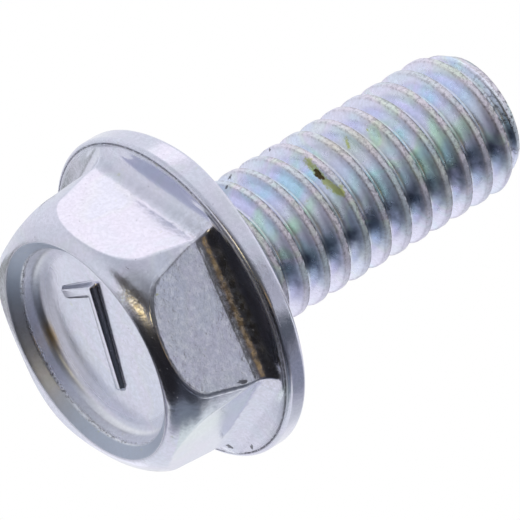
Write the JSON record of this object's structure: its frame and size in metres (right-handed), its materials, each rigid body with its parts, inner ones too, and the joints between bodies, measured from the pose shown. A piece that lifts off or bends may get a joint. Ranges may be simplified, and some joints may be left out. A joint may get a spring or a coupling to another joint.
{
  "type": "shear bolt",
  "caption": "Hexagon flange bolt with a dished head, rounded head corners, a round bearing flange and a shank threaded right up to the flange.",
  "frame": {"origin": "centre of the head's top rim, on the surface that the bolt stands on, head down", "axes": "+Z along the thread axis from the head to the tip; +X square to one of the hexagon's flats"},
  "size_m": [0.0131, 0.013, 0.0191],
  "materials": {
    "zinc_plating": "bright zinc plated, slightly iridescent"
  },
  "bodies": {
    "root": {"shear_bolt": "zinc_plating"}
  },
  "joints": []
}
